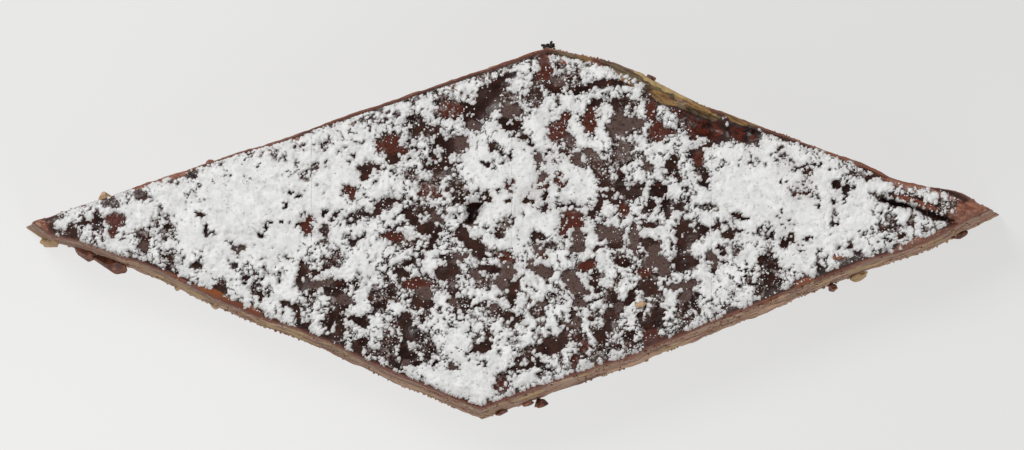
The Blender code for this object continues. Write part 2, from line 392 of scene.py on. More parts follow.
# where the cut walls show more than dark dough: side, place, share of height, half sizes in mm,
# turn in degrees and what it is
wallBits = [
    ("frontRight", 0.106, 0.50, 1.5, 2.2, 8, "nut"),
    ("frontRight", 0.050, 0.62, 0.45, 0.9, 0, "nut"),
    ("frontRight", 0.400, 0.25, 2.4, 1.6, 4, "nut"),
    ("frontRight", 0.330, 0.20, 3.2, 1.0, 2, "tan"),
    ("frontRight", 0.545, 0.55, 0.8, 1.0, 0, "tan"),
    ("frontRight", 0.620, 0.80, 1.0, 1.4, 0, "red"),
    ("frontLeft", 0.30, 0.35, 4.5, 1.3, 3, "nut"),
    ("frontLeft", 0.56, 0.30, 4.0, 1.2, -3, "nut"),
    ("frontLeft", 0.80, 0.25, 4.5, 1.4, 2, "tan"),
    ("frontLeft", 0.88, 0.55, 2.0, 1.5, 0, "red"),
    ("backRight", 0.245, 0.90, 3.6, 1.6, 3, "nut"),
    ("backRight", 0.40, 0.86, 1.6, 0.9, 0, "nut"),
    ("backRight", 0.62, 0.55, 3.5, 0.9, 2, "tan"),
    ("backLeft", 0.30, 0.55, 1.6, 1.1, 0, "nut"),
    ("backLeft", 0.62, 0.40, 2.6, 1.5, 6, "tan"),
]
doughKinds = ("nut", "tan", "red", "seed", "clay", "ridge", "gold", "deepRed")
drawnBits = {"count": 74, "long": (0.35, 2.3), "tall": (0.3, 1.3), "seed": 8}


# the same on the top and its rim, in photo pixels: middle, half sizes, turn and what it is
topBits = (
    # the broken edge at the back right
    (660, 90, 62, 7, -27, "ridge"), (572, 57, 24, 6, -22, "ridge"), (735, 115, 26, 5, -24, "ridge"),
    (692, 104, 24, 4, -26, "gold"), (628, 82, 10, 3, -30, "gold"), (662, 98, 15, 5, -30, "gold"),
    (738, 119, 13, 4, -20, "gold"), (583, 58, 8, 3, -30, "gold"), (704, 131, 19, 10, -20, "deepRed"),
    (739, 135, 14, 7, -20, "deepRed"), (690, 120, 22, 3.5, -30, "deepRed"), (560, 60, 16, 3, -15, "red"),
    (610, 72, 30, 3, -25, "clay"),
    # along the other rims
    (458, 87, 6, 5, 30, "red"), (249, 309, 14, 6, -25, "red"), (305, 139, 60, 2.5, 17, "red"),
    (165, 180, 30, 2.5, 18, "clay"), (220, 296, 22, 5, -27, "red"), (180, 280, 24, 4, -27, "red"),
    (836, 255, 8, 6, 0, "red"), (804, 283, 12, 5, 20, "red"), (840, 155, 70, 4, -22, "red"),
    (920, 190, 40, 4, -16, "clay"), (915, 203, 22, 3, -20, "red"), (757, 161, 4, 4, 0, "tan"),
    (928, 241, 42, 8, 18, "clay"), (878, 262, 22, 4, 20, "clay"), (975, 214, 26, 14, 0, "clay"),
    (990, 213, 10, 6, -10, "tan"), (36, 229, 16, 8, 15, "clay"), (34, 227, 10, 4, 15, "tan"),
    (62, 244, 30, 4, -25, "clay"), (330, 352, 60, 3, -26, "red"),
)


def paintTop(x, y, fields, onTop):
    for px, py, halfX, halfY, turn, kind in topBits:
        a, b = acrossAndAlong(x, y, fromPhoto(px, py), turn)
        q = np.hypot(a / halfX, b / halfY) * photo["pixelsPerMm"] + 0.35 * layeredNoise(x, y, 0.7, 53, 3)
        fields[kind] = np.maximum(fields[kind], rampUp(-q, -1.3, -0.7) * onTop)


def drawWallBits():
    rng = np.random.default_rng(drawnBits["seed"])
    kinds = ("nut", "tan", "red", "nut", "tan", "seed")
    for number in range(drawnBits["count"]):
        name = list(sides)[number % 4]
        long, tall = rng.uniform(*drawnBits["long"]), rng.uniform(*drawnBits["tall"])
        bit = (name, rng.uniform(0.03, 0.97), rng.uniform(0.10, 0.78), long, tall, rng.uniform(-22, 22))
        wallBits.append(bit + (kinds[rng.integers(len(kinds))],))


def makeSlab():
    n = slab["cells"]
    steps = np.linspace(0, 1, n + 1)
    u, v = (a.ravel() for a in np.meshgrid(steps, steps, indexing="ij"))
    flat = coons(u, v)
    height = slabTop(flat[:, 0], flat[:, 1])
    index = np.arange((n + 1) ** 2).reshape(n + 1, n + 1)
    quads = [np.stack([index[:-1, :-1], index[:-1, 1:], index[1:, 1:], index[1:, :-1]], -1).reshape(-1, 4)]

    # one walk round the rim, starting at the left tip and passing the back corner first
    places = np.arange(n) / n
    back = 1 - places
    walk = [("backLeft", places), ("backRight", places), ("frontRight", back), ("frontLeft", back)]
    rim = np.concatenate([index[:-1, 0], index[-1, :-1], index[:0:-1, -1], index[0, :0:-1]])
    top = flat[rim]
    base = np.concatenate([sidePoints(name, 0.0, t) for name, t in walk])
    out = np.concatenate([np.tile(sideFrame(name, 0.0)[2], (n, 1)) for name, _ in walk])
    out = (out + np.roll(out, 1, 0) + np.roll(out, -1, 0)) / 3
    side = np.repeat(np.arange(4), n)
    place = np.concatenate([t for _, t in walk])
    lengths = np.repeat([np.hypot(*sideFrame(name, 0.0)[1]) for name, _ in walk], n)
    run = place * lengths + side * 100.0

    shoulder = slab["shoulderRows"]
    shares = np.concatenate([shoulder, np.linspace(0.86, 0, slab["wallRows"] - len(shoulder))])
    rimHeight = height[rim]
    points = [np.column_stack([flat, height])]
    fields = {"wall": [np.zeros(len(flat))], "share": [np.ones(len(flat))]}
    for kind in doughKinds:
        fields[kind] = [np.zeros(len(flat))]
    rings = [rim]
    for row, share in enumerate(shares):
        lean = np.interp(share, slab["wallHeights"], slab["wallLeans"])
        ring = top * (1 - lean) + base * lean
        up = share * slab["thickness"]
        rise = 0 * run + up
        smear = 0.6 * layeredNoise(run, rise * 7.0, 6.0, 31, 2)
        smear = smear + 0.4 * layeredNoise(run, rise * 2.6, 1.3, 35, 2)
        bulge = slab["wallBulge"] * layeredNoise(run, rise, 3.4, 39, 2)
        bulge = bulge + slab["wallRough"] * layeredNoise(run, rise, 0.6, 47, 2)
        masks = {kind: np.zeros(len(run)) for kind in doughKinds}
        for name, at, level, long, tall, turn, kind in wallBits:
            nearby = np.array([walk[s][0] == name for s in side])
            a, b = acrossAndAlong(place * lengths, up, (at * 51.0, level * slab["thickness"]), turn)
            q = np.hypot(a / long, b / (tall * 0.5)) + 0.30 * layeredNoise(run, rise, 0.7, 43, 2)
            masks[kind] = np.maximum(masks[kind], rampUp(-q, -1.15, -0.9) * nearby)
        proud = slab["nutsProud"] * (masks["nut"] + masks["tan"]) - slab["fruitBack"] * masks["red"]
        fade = min(1.0, share / 0.04) * min(1.0, (1 - share) / 0.06)  # none at the foot and the rim
        ring = ring + out * ((slab["smearDepth"] * smear + bulge + proud) * fade)[:, None]
        points.append(np.column_stack([ring, rimHeight * share]))
        rings.append(len(flat) + row * len(rim) + np.arange(len(rim)))
        fields["wall"].append(np.full(len(run), min(1.0, (1 - share) / 0.05)))
        fields["share"].append(np.full(len(run), share))
        for kind, values in masks.items():
            fields[kind].append(values)
    for upper, lower in zip(rings, rings[1:]):
        quads.append(np.column_stack([upper, np.roll(upper, -1), np.roll(lower, -1), lower]))
    faces = np.concatenate(quads).tolist()
    points = np.concatenate(points)
    centre = len(points)
    points = np.vstack([points, [0, 0, 0]])
    last = rings[-1]
    faces += np.column_stack([last, np.roll(last, -1), np.full(len(last), centre)]).tolist()
    fields = {label: np.append(np.concatenate(values), 0.0) for label, values in fields.items()}
    faces = [face[::-1] for face in faces] if slabFacesPointIn(points, faces) else faces
    return points, faces, fields


def slabFacesPointIn(points, faces):
    # the first face is on the top, so its normal has to point up
    a, b, c = (points[i] for i in faces[0][:3])
    return np.cross(b - a, c - a)[2] < 0


# The icing sugar. Bare places of the top as they lie in the photo, in its pixels:
# middle, half sizes and, where it isn't 0, the turn in degrees
barePlaces = {
    "dark": [
        (142, 197, 7, 4, -50), (74, 230, 4, 10), (87, 221, 9, 1.5), (99, 220, 4, 7), (194, 177, 6, 3),
        (204, 215, 4, 3), (206, 231, 2, 6), (262, 233, 6, 3, 45), (271, 224, 6, 3, 40), (283, 222, 7, 1.5),
        (297, 226, 4, 2), (293, 194, 3, 2), (300, 196, 4, 2), (285, 206, 4, 2, 20), (235, 264, 3, 4),
        (248, 277, 3, 2), (200, 265, 5, 3), (219, 289, 6, 5), (262, 295, 3, 5), (285, 304, 8, 4, -15),
        (298, 312, 3, 9, 25), (303, 324, 6, 3, -20), (354, 156, 2, 3), (371, 168, 11, 5), (367, 177, 5, 5),
        (392, 160, 7, 5), (303, 216, 4, 3), (326, 232, 4, 6, -20), (336, 218, 3, 6, -30),
        (325, 216, 5, 2.5, 40), (352, 243, 5, 1.8, -40), (362, 238, 5, 2.5, 60), (366, 214, 4, 3),
        (379, 213, 3, 6, -25), (386, 203, 10, 5, 15), (399, 203, 7, 2, -35), (410, 214, 8, 3, -45),
        (417, 222, 5, 4), (428, 211, 8, 3.5, -25), (430, 231, 12, 6, -18), (433, 244, 3, 6),
        (422, 250, 8, 1.8), (420, 256, 3, 5, -20), (326, 266, 4, 3), (303, 264, 3, 5), (303, 278, 7, 11),
        (318, 271, 4, 3), (340, 285, 5, 6), (332, 291, 9, 2, -5), (408, 265, 7, 2.5, 10),
        (402, 274, 8, 3, -30), (416, 303, 6, 5, 45), (429, 305, 7, 4, 35), (373, 294, 3.5, 7, 10),
        (343, 305, 6, 5), (337, 313, 6, 3, 45), (332, 320, 4, 7), (350, 317, 5, 3.5, -20),
        (361, 321, 10, 4, -38), (342, 327, 3.5, 7, -15), (333, 336, 8, 1.8), (363, 341, 8, 3, -10),
        (359, 351, 4, 7), (380, 303, 5, 3, 30), (404, 320, 6, 10), (411, 333, 12, 7),
        (421, 318, 2.5, 4, -30), (392, 341, 4, 8, -10), (404, 350, 5, 9), (413, 357, 6, 4),
        (395, 363, 6, 3, -35), (431, 350, 2.5, 9), (437, 362, 2, 8, -20), (418, 364, 5, 2, 20),
        (424, 128, 6, 8), (497, 89, 12, 7, 50), (486, 103, 14, 11, 45), (474, 117, 9, 6, 30),
        (482, 92, 4, 5), (510, 76, 9, 4, 18), (511, 125, 12, 7, -5), (517, 135, 8, 5),
        (529, 141, 8, 3.5, -45), (448, 143, 13, 6, -28), (450, 153, 7, 6), (434, 158, 4, 3),
        (440, 168, 14, 8, 5), (512, 155, 2.5, 6), (487, 163, 5, 3, -20), (556, 91, 9, 3.5),
        (576, 93, 8, 4, 5), (593, 88, 9, 4, 10), (606, 84, 7, 3), (613, 84, 3, 5, 45),
        (598, 103, 4, 6, -35), (590, 110, 3, 6, -40), (614, 103, 3, 6), (623, 102, 3.5, 4),
        (475, 208, 9, 7, 10), (472, 218, 8, 4, 30), (463, 200, 6, 1.6), (488, 200, 6, 1.6, -20),
        (489, 195, 2.2, 6, 15), (498, 190, 1.8, 5), (509, 200, 3, 3), (527, 197, 6, 9, 25),
        (545, 195, 3, 8), (562, 206, 24, 4.5), (540, 209, 8, 5), (463, 234, 8, 8), (470, 243, 10, 5, -45),
        (479, 251, 8, 5, -45), (497, 235, 8, 3, 5), (538, 237, 6, 4), (445, 257, 7, 2.5, -10),
        (448, 271, 10, 8), (452, 288, 5, 10, 15), (488, 270, 9, 3.5, -10), (468, 305, 4, 5),
        (463, 315, 6, 3), (463, 322, 5, 2), (514, 290, 5, 10, -12), (513, 319, 9, 4.5, 10),
        (481, 346, 9, 5, 10), (470, 356, 2, 5, -20), (552, 346, 16, 5, 12), (549, 338, 4, 4),
        (562, 338, 5, 7, -30), (518, 358, 5, 2.5), (524, 366, 16, 2.5, 10), (539, 359, 3, 6),
        (603, 182, 5, 5), (619, 176, 3.5, 6), (618, 188, 7, 5, -25), (631, 193, 8, 4),
        (640, 187, 3.5, 5, -30), (659, 190, 8, 7), (664, 207, 5, 10, 20), (680, 207, 5, 3, 20),
        (648, 203, 5, 6), (604, 196, 9, 4.5, 20), (596, 205, 4.5, 8, -35), (592, 213, 4, 5),
        (618, 203, 8, 2.5, -20), (634, 188, 4, 3), (596, 247, 5, 3), (612, 246, 8, 2.5), (650, 244, 6, 9),
        (650, 225, 7, 1.8, 12), (684, 236, 9, 15), (685, 262, 12, 8), (697, 233, 3, 5), (622, 262, 5, 6),
        (593, 281, 3, 9), (613, 297, 3.5, 8, 20), (630, 297, 3, 7, -25), (611, 316, 6, 8),
        (608, 326, 8, 4, 25), (600, 335, 7, 3.5, -10), (571, 314, 2.5, 6), (588, 317, 1.5, 2),
        (651, 287, 5, 8), (643, 285, 3, 5), (658, 312, 6, 4.5), (652, 322, 10, 4), (640, 315, 2, 4),
        (630, 334, 8, 2.5, 10), (694, 306, 3, 9, 20), (672, 165, 5, 10, -15), (676, 178, 3, 6, 15),
        (696, 155, 9, 4.5, 12), (698, 163, 5, 5), (703, 178, 3.5, 10, 10), (710, 146, 10, 3.5, 10),
        (690, 138, 4, 2), (689, 131, 10, 1.5), (755, 133, 3, 6), (803, 168, 16, 2.5, 10), (804, 173, 5, 3),
        (782, 182, 4, 2.5), (700, 230, 6, 4), (714, 230, 5, 2), (717, 226, 1.5, 4), (728, 235, 5, 7),
        (738, 231, 4, 2), (737, 215, 6, 3.5, -20), (743, 220, 5, 2), (718, 247, 3, 3), (713, 275, 3, 8, 25),
        (723, 254, 5, 2.5, 20), (727, 265, 9, 3.5, -5), (776, 213, 3, 3.5), (786, 223, 6, 5),
        (787, 237, 6, 6), (806, 238, 6, 1.3, 5), (782, 243, 4, 3), (762, 260, 5, 4), (772, 265, 8, 3, -15),
        (767, 277, 7, 6), (766, 288, 3.5, 6), (768, 298, 3, 4), (820, 270, 3, 5), (835, 184, 6, 4, -10),
        (844, 193, 3.5, 11), (851, 190, 4, 2.5), (833, 202, 4, 2.5), (833, 223, 3, 3.5), (899, 236, 4, 5),
        (897, 246, 4, 3), (870, 177, 7, 2.5, 12), (466, 110, 5, 6), (545, 345, 3, 8), (632, 338, 4, 3),
    ],
    "red": [
        (116, 219, 11, 6), (114, 232, 4, 7), (179, 175, 9, 3, 20), (310, 227, 9, 11), (351, 192, 8, 6, -10),
        (391, 145, 8, 12, -10), (379, 148, 4, 4), (403, 152, 6, 3), (392, 236, 11, 5),
        (418, 285, 14, 5, -3), (452, 111, 12, 8, -5), (545, 73, 9, 7, 25), (545, 62, 4, 6),
        (557, 132, 10, 8, 30), (566, 118, 3.5, 8, -15), (428, 193, 9, 8, -20), (440, 196, 7, 3, -25),
        (510, 184, 8, 5, -10), (541, 185, 8, 6, 25), (560, 181, 5, 8, 15), (563, 227, 5, 11),
        (572, 215, 11, 6), (573, 224, 12, 5), (505, 258, 8, 6), (623, 212, 6, 6, -10), (650, 110, 6, 9),
        (656, 130, 9, 10), (668, 132, 8, 4, -5), (592, 122, 7, 13, -10), (645, 270, 8, 5),
        (588, 265, 10, 4, 15), (652, 338, 9, 12, 10), (583, 345, 6, 6), (803, 183, 9, 3.5),
        (799, 197, 8, 6), (802, 282, 9, 6, 25), (697, 160, 5, 7), (544, 254, 4, 4), (502, 384, 8, 6),
        (574, 362, 4, 7),
    ],
    # bare patches where the slab's sheen is painted into the colour as grey-brown: a painted reflection of
    # the light
    "greySheen": [
        (325, 283, 9, 4.5, 15), (316, 285, 8, 4), (323, 242, 7, 3, 35), (345, 299, 9, 5, -30),
        (427, 294, 9, 6, -20), (435, 218, 7, 4), (238, 248, 9, 4, -20), (146, 247, 5, 6), (463, 144, 7, 10),
        (511, 112, 10, 6, -10), (476, 127, 7, 5, -20), (560, 82, 10, 4.5, -20), (537, 159, 5, 9),
        (541, 165, 8, 4), (510, 222, 5, 7, -10), (508, 272, 8, 9), (500, 283, 6, 5), (460, 257, 9, 4, 20),
        (476, 277, 5, 6, 20), (540, 271, 12, 4, -12), (532, 264, 3.5, 5), (455, 302, 9, 3.5, -15),
        (493, 308, 5, 4), (538, 249, 5, 5), (578, 237, 6, 9), (577, 250, 6, 4), (620, 128, 12, 10),
        (635, 124, 10, 5, 20), (617, 116, 4, 6), (608, 233, 14, 9, -10), (634, 240, 5, 15),
        (656, 262, 14, 6), (664, 270, 5, 6), (568, 275, 7, 6), (576, 285, 14, 7, -38), (580, 303, 7, 3.5),
        (618, 304, 5, 4, -15), (576, 323, 4, 6), (566, 326, 4, 2.5), (676, 285, 10, 3.5), (689, 283, 7, 4),
        (685, 294, 4, 7), (713, 262, 7, 9), (623, 150, 6, 11), (592, 155, 12, 3.5, -25),
        (577, 160, 6, 8, 20), (645, 166, 4, 8, 15), (570, 141, 4, 6), (455, 366, 6, 4.5), (541, 304, 5, 3),
        (683, 190, 6, 3, 10), (545, 176, 5, 5), (406, 362, 5, 4), (652, 252, 5, 8),
    ],
    "speckled": [
        (170, 266, 9, 12), (150, 231, 5, 9), (168, 228, 12, 12), (116, 203, 5, 6), (99, 220, 5, 8),
        (307, 175, 6, 7), (317, 165, 6, 4), (419, 125, 12, 13), (434, 137, 6, 12), (413, 172, 7, 9),
        (435, 170, 6, 12), (388, 202, 14, 6), (429, 190, 12, 11), (353, 116, 5, 3), (333, 258, 9, 11),
        (388, 293, 12, 9), (381, 354, 16, 4, -12), (390, 337, 10, 16), (425, 345, 12, 18),
        (450, 110, 14, 10), (537, 96, 7, 15), (495, 146, 8, 4), (510, 100, 9, 6), (558, 152, 12, 14),
        (461, 190, 10, 11), (500, 225, 9, 7), (552, 245, 9, 4), (485, 284, 9, 6), (494, 312, 9, 9),
        (535, 311, 7, 9), (482, 363, 7, 4), (528, 350, 6, 6), (632, 106, 7, 6), (687, 126, 9, 9),
        (600, 165, 14, 8, -20), (622, 150, 9, 14), (604, 292, 9, 9), (610, 344, 26, 8, 8),
        (590, 355, 16, 5, 8), (684, 309, 10, 14), (503, 378, 11, 7), (780, 160, 11, 13), (803, 190, 14, 13),
        (817, 203, 4, 6), (727, 222, 5, 6), (737, 247, 9, 8), (765, 233, 11, 11), (797, 247, 8, 4),
        (766, 275, 13, 22), (817, 256, 5, 8), (856, 262, 9, 8), (855, 176, 8, 4), (834, 215, 5, 8),
        (880, 224, 7, 6), (889, 227, 12, 5, -12), (908, 222, 6, 7), (875, 196, 8, 3, -30), (940, 204, 8, 7),
        (927, 229, 10, 2.5, 5), (765, 130, 9, 7), (757, 140, 6, 8), (705, 207, 12, 5), (574, 334, 6, 6),
        (466, 303, 8, 5), (560, 66, 8, 5), (565, 75, 12, 7), (655, 300, 8, 4), (352, 220, 8, 6),
        (405, 243, 9, 5), (470, 405, 7, 3), (740, 160, 2, 8, -20), (753, 161, 8, 8),
    ],
}

sugar = {
    "cell": 0.105,  # of the grid that the crust is made on
    "graininess": 0.18,  # between granules
    "granule": (0.070, 0.22),  # radius
    "roughness": 0.060,  # spread of the granules' heights
    "clump": 0.31,  # mean height over the slab
    "clumpSwing": 0.26,
    "ragged": 0.50,  # how far the noise moves the edges of bare places
    "edgeRoom": 0.7,  # pixels by which the granules at its edge narrow a bare place
    "fullness": 0.80,  # the higher, the more bare
    "stray": 0.14,  # how irregular the edges are, granule by granule
    "packed": 0.75,  # how far the granules inside a clump are smoothed together
    "crack": 0.065,  # half width of the cracks, as a share of their noise
    "sunk": 0.10,  # depth of what is hidden below the slab
    "thickest": 0.80,
    "dusty": 0.014,  # height of the finest grain
    "overhang": 0.14,  # how far it may hang over the shoulder
    "seed": 17,
}


def edgeShare(q, soft=0.46):
    return rampUp(-q, -1.0 - soft, -1.0 + soft)


def bareFields(x, y):
    # how bare each point is, and what kind of surface shows there
    wx = x + sugar["ragged"] * layeredNoise(x, y, 1.3, 61, 4)
    wy = y + sugar["ragged"] * layeredNoise(x, y, 1.3, 71, 4)
    fields = {}
    for kind, places in barePlaces.items():
        field = np.zeros_like(x)
        for px, py, halfX, halfY, *turn in places:
            mx, my = fromPhoto(px, py)
            halfX, halfY = halfX + sugar["edgeRoom"], halfY + sugar["edgeRoom"]
            reach = 1.6 * max(halfX, halfY) / photo["pixelsPerMm"]
            near = (np.abs(wx - mx) < reach) & (np.abs(wy - my) < reach)
            a, b = acrossAndAlong(wx[near], wy[near], (mx, my), turn[0] if turn else 0)
            q = np.hypot(a / halfX, b / halfY) * photo["pixelsPerMm"]
            field[near] = np.maximum(field[near], edgeShare(q))
        fields[kind] = field
    return fields


def rimSpill(x, y):
    # how far the sugar hangs over the shoulder of the top, in mm
    backLeft = rampUp(y - 0.3 * x, 7.5, 9.0) * rampUp(-x, -4.0, -2.0)
    front = rampUp(-y - 0.25 * np.abs(x), 1.5, 4.0)
    return 0.05 + 0.38 * backLeft + 0.24 * front


def sugarCover(x, y, bare):
    # 1 where sugar lies, 0 where the slab is bare, with every value between
    gone = np.maximum.reduce([bare["dark"], bare["red"], bare["greySheen"], 0.62 * bare["speckled"]])
    hollow = rampUp(hollowDepth(x, y), 0.06, 0.22)
    across, beyond = foldOffsets(x, y)
    groove = bell(np.hypot(across + 0.02, beyond) / 0.30)
    lip = 0.95 * bell(np.hypot(across - 0.80, beyond) / 0.45)
    lip = lip * rampUp(layeredNoise(x, y, 0.8, 77, 2), -0.5, 0.2)
    rim = 1 - rampUp(rimGap(x, y) + rimSpill(x, y) + 0.24 * layeredNoise(x, y, 0.9, 81, 3), 0.05, 0.30)
    tips = np.maximum(rampUp(-x, 44.9, 46.2), rampUp(x, 43.7, 44.6))
    chip = rampUp(-rimGap(x, y), -1.6, -1.0) * bell(np.hypot((x - 16.8) / 4.6, (y - 11.6) / 3.0))
    gone = np.maximum.reduce([gone, hollow, groove, lip, rim, tips, chip])
    smooth = sum(bell(np.hypot((x - m[0]) / h[0], (y - m[1]) / h[1]) / 1.05) for m, h, _ in drifts)
    smooth = np.clip(smooth, 0, 1)
    pores = 0.58 * layeredNoise(x, y, 1.3, 91, 4) + 0.90 * layeredNoise(x, y, 0.50, 95, 2)
    return 1 - gone, np.clip(pores + 0.75 * smooth, -1, 1), smooth


def makeCrustFields():
    cell = sugar["cell"]
    xs = np.arange(-47.4, 47.4, cell)
    ys = np.arange(-18.3, 17.6, cell)
    x, y = np.meshgrid(xs, ys, indexing="ij")
    inside = rimGap(x, y)
    bare = bareFields(x, y)
    cover, pores, smooth = sugarCover(x, y, bare)
    cover[inside < -sugar["overhang"]] = 0
    slabHeight = slabTop(x, y)
    shoulder = np.clip(-inside / 1.15, 0, 1)
    slabHeight *= np.interp(shoulder, slab["wallLeans"][::-1][:5], slab["wallHeights"][::-1][:5])
    print("sugar fields", x.shape)

    # clump height, lower towards the edges of each clump
    near = blurred(cover, 4)
    wide = blurred(cover, 9)
    heap = sum(height * bell(np.hypot((x - m[0]) / h[0], (y - m[1]) / h[1])) for m, h, height in drifts)
    clump = sugar["clump"] + sugar["clumpSwing"] * layeredNoise(x, y, 2.1, 101, 3)
    clump = (clump + 0.8 * heap + 0.10 * rampUp(wide, 0.5, 1.0)) * (0.55 + 0.45 * rampUp(near, 0.2, 0.8))

    rng = np.random.default_rng(sugar["seed"])
    gap = sugar["graininess"]
    gx, gy = np.meshgrid(np.arange(xs[0], xs[-1], gap), np.arange(ys[0], ys[-1], gap), indexing="ij")
    gx = (gx + rng.uniform(-0.5, 0.5, gx.shape) * gap).ravel()
    gy = (gy + rng.uniform(-0.5, 0.5, gy.shape) * gap).ravel()
    ix = np.clip(np.rint((gx - xs[0]) / cell).astype(int), 0, len(xs) - 1)
    iy = np.clip(np.rint((gy - ys[0]) / cell).astype(int), 0, len(ys) - 1)
    kept = cover[ix, iy] + pores[ix, iy] + rng.normal(0, sugar["stray"], len(gx)) > sugar["fullness"]
    gx, gy, ix, iy = gx[kept], gy[kept], ix[kept], iy[kept]
    small, large = sugar["granule"]
    radius = small + (large - small) * rng.random(len(gx)) ** 1.8
    level = clump[ix, iy] + rng.normal(0, sugar["roughness"], len(gx)) * (1 - 0.5 * smooth[ix, iy])
    print("granules in the crust", len(gx))

    thickness = np.full(x.shape, -1.0)
    reach = int(math.ceil(sugar["granule"][1] / cell))
    for di in range(-reach, reach + 1):
        for dj in range(-reach, reach + 1):
            i, j = ix + di, iy + dj
            ok = (i >= 0) & (j >= 0) & (i < len(xs)) & (j < len(ys))
            d = np.hypot(xs[np.clip(i, 0, len(xs) - 1)] - gx, ys[np.clip(j, 0, len(ys) - 1)] - gy)
            ok &= d < radius
            cap = level - radius * (1 - np.sqrt(np.clip(1 - (d / radius) ** 2, 0, 1)))
            np.maximum.at(thickness, (i[ok], j[ok]), cap[ok])
    bed = clump * (0.42 + 0.25 * smooth) * rampUp(near + 0.8 * pores, 0.62, 1.0) - 0.02
    thickness = np.maximum(thickness, np.where(cover > 0.5, bed, -1))
    packed = sugar["packed"] * rampUp(blurred((thickness > 0).astype(float), 2), 0.80, 1.0)
    settled = thickness + packed * (blurred(np.maximum(thickness, 0), 1) - thickness)
    thickness = np.where(thickness > 0, settled, thickness)
    crack = np.abs(layeredNoise(x, y, 1.1, 111, 4)) + 0.10 * smooth
    thickness[crack < sugar["crack"] * rampUp(layeredNoise(x, y, 2.2, 117, 2), -0.3, 0.3)] = -1
    thickness[inside < -sugar["overhang"] - 0.02] = -1
    thickness = np.minimum(thickness, sugar["thickest"])
    thickness += np.where(thickness > 0, sugar["dusty"] * rng.normal(0, 1, x.shape), 0)
    return xs, ys, slabHeight, thickness, cover, near, bare


def crustBlock(fields, first, last):
    # the closed crust between two columns of the grid
    xs, ys, slabHeight, thickness, cover, near, bare = fields
    part = slice(first, last + 1)
    t, ground = thickness[part], slabHeight[part]
    has = t > 0
    full = has[:-1, :-1] | has[1:, :-1] | has[:-1, 1:] | has[1:, 1:]
    # a corner where two cells only touch would leave the shell open there, so the gap is filled
    a, b, c, d = full[:-1, :-1], full[1:, :-1], full[:-1, 1:], full[1:, 1:]
    touch = (a & d & ~b & ~c) | (b & c & ~a & ~d)
    full[:-1, :-1] |= touch
    full[1:, :-1] |= touch
    full[:-1, 1:] |= touch
    full[1:, 1:] |= touch
    used = np.zeros(t.shape, bool)
    for si, sj in ((0, 0), (1, 0), (0, 1), (1, 1)):
        used[si:si + full.shape[0], sj:sj + full.shape[1]] |= full
    number = np.full(t.shape, -1)
    number[used] = np.arange(used.sum())
    i, j = np.nonzero(used)
    high = ground + np.maximum(t, -sugar["sunk"])
    x, y = xs[part][i], ys[j]
    upper = np.column_stack([x, y, high[i, j]])
    lower = np.column_stack([x, y, np.minimum(ground, high)[i, j] - 0.16])
    ci, cj = np.nonzero(full)
    top = np.column_stack([number[ci, cj], number[ci + 1, cj], number[ci + 1, cj + 1], number[ci, cj + 1]])
    under = top[:, ::-1] + len(upper)
    walls = []
    padded = np.pad(full, 1)
    # each open side of a cell: which way it faces and its two ends
    cellSides = (
        (-1, 0, (0, 1), (0, 0)), (1, 0, (1, 0), (1, 1)), (0, -1, (0, 0), (1, 0)), (0, 1, (1, 1), (0, 1)),
    )
    for di, dj, p, q in cellSides:
        exposed = full & ~padded[1 + di:padded.shape[0] - 1 + di, 1 + dj:padded.shape[1] - 1 + dj]
        wi, wj = np.nonzero(exposed)
        start, end = number[wi + p[0], wj + p[1]], number[wi + q[0], wj + q[1]]
        walls.append(np.column_stack([end, start, start + len(upper), end + len(upper)]))
    faces = np.concatenate([top, under, *walls])
    thin = 1 - rampUp(t[i, j], 0.0, 0.16)
    # near the edges of clumps the sugar is tinted grey-brown: partly thin powder over the dark slab, partly
    # painted shade
    edge = 1 - rampUp(near[part][i, j], 0.35, 0.85)
    fieldsOut = {"thin": np.tile(thin, 2), "edge": np.tile(edge, 2)}
    # top faces fill most of the map and the hidden underside a narrow strip
    wide, tall = max(np.ptp(x), 1e-6), max(np.ptp(y), 1e-6)
    uv = np.column_stack([(x - x.min()) / wide, (y - y.min()) / tall])
    uvTop = np.column_stack([0.02 + 0.86 * uv[:, 0], 0.02 + 0.96 * uv[:, 1]])
    uvUnder = np.column_stack([0.91 + 0.07 * uv[:, 0], 0.02 + 0.96 * uv[:, 1]])
    return np.vstack([upper, lower]), faces.tolist(), fieldsOut, np.vstack([uvTop, uvUnder])


# Loose grains of sugar, scattered by Geometry Nodes over the places drawn here
grains = {
    "sugar_granules": {
        "count": 3200, "size": 0.085, "spread": 0.5, "seed": 5,
        "onCrust": 0.04, "onBare": 0.07, "onSpeckled": 0.06, "sunk": 0.25,
    },
    "sugar_dust": {
        "count": 7000, "size": 0.045, "spread": 0.45, "seed": 6,
        "onCrust": 0.05, "onBare": 0.16, "onSpeckled": 0.06, "sunk": 0.35,
    },
}


